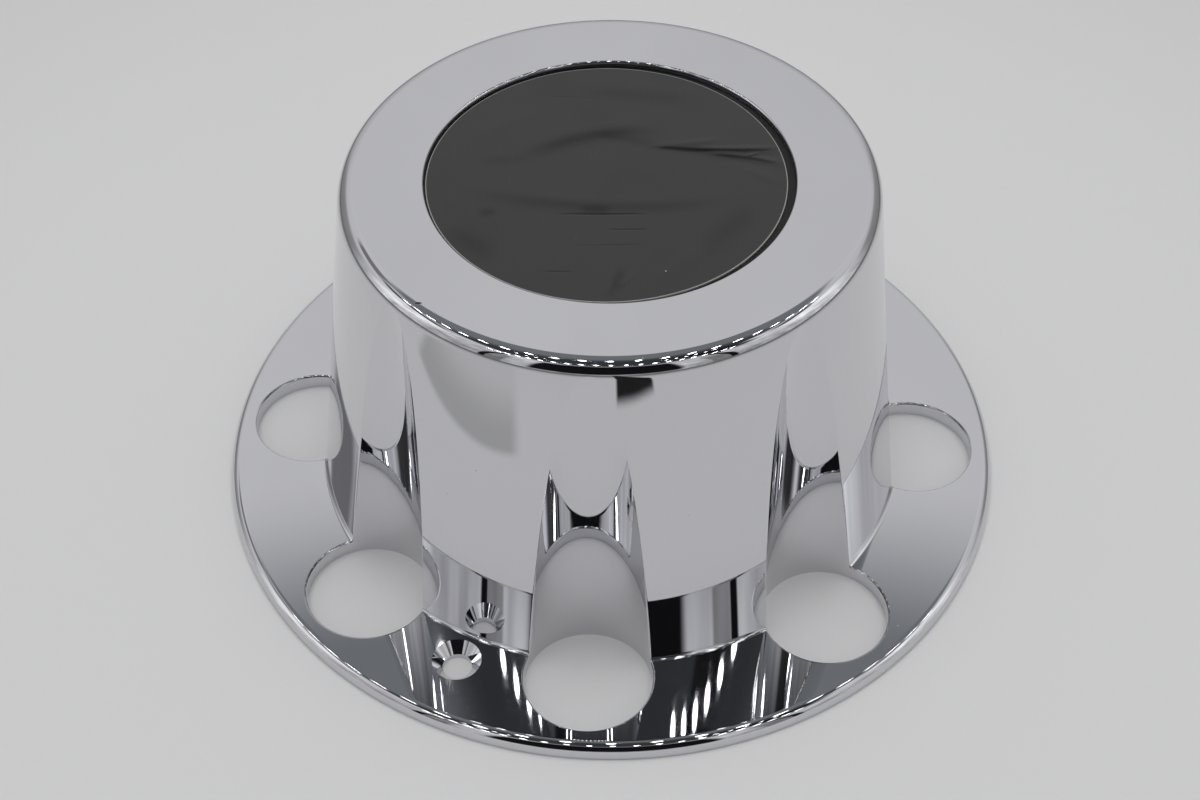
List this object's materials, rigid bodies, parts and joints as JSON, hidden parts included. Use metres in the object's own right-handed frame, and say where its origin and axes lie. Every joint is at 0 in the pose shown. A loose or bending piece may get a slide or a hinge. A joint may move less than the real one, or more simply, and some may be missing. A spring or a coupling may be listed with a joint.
{
  "type": "bolt-on center cap",
  "caption": "Tall chrome wheel center cap: a tapered cup on a round flange, with lug-nut holes carried up the wall as scallops, countersunk screw holes and a recessed blank emblem disc.",
  "frame": {"origin": "on the cap's axis, at the back face of the flange", "axes": "+Z along the axis, out of the wheel; a lug hole lies on -Y, which is the front"},
  "size_m": [0.2082, 0.2082, 0.096],
  "materials": {
    "chrome_plating": "mirror-bright chrome plating on moulded ABS",
    "emblem_film": "glossy black self-adhesive film, slightly puckered"
  },
  "bodies": {
    "root": {"cap_body": "chrome_plating", "emblem_disc": "emblem_film"}
  },
  "joints": []
}
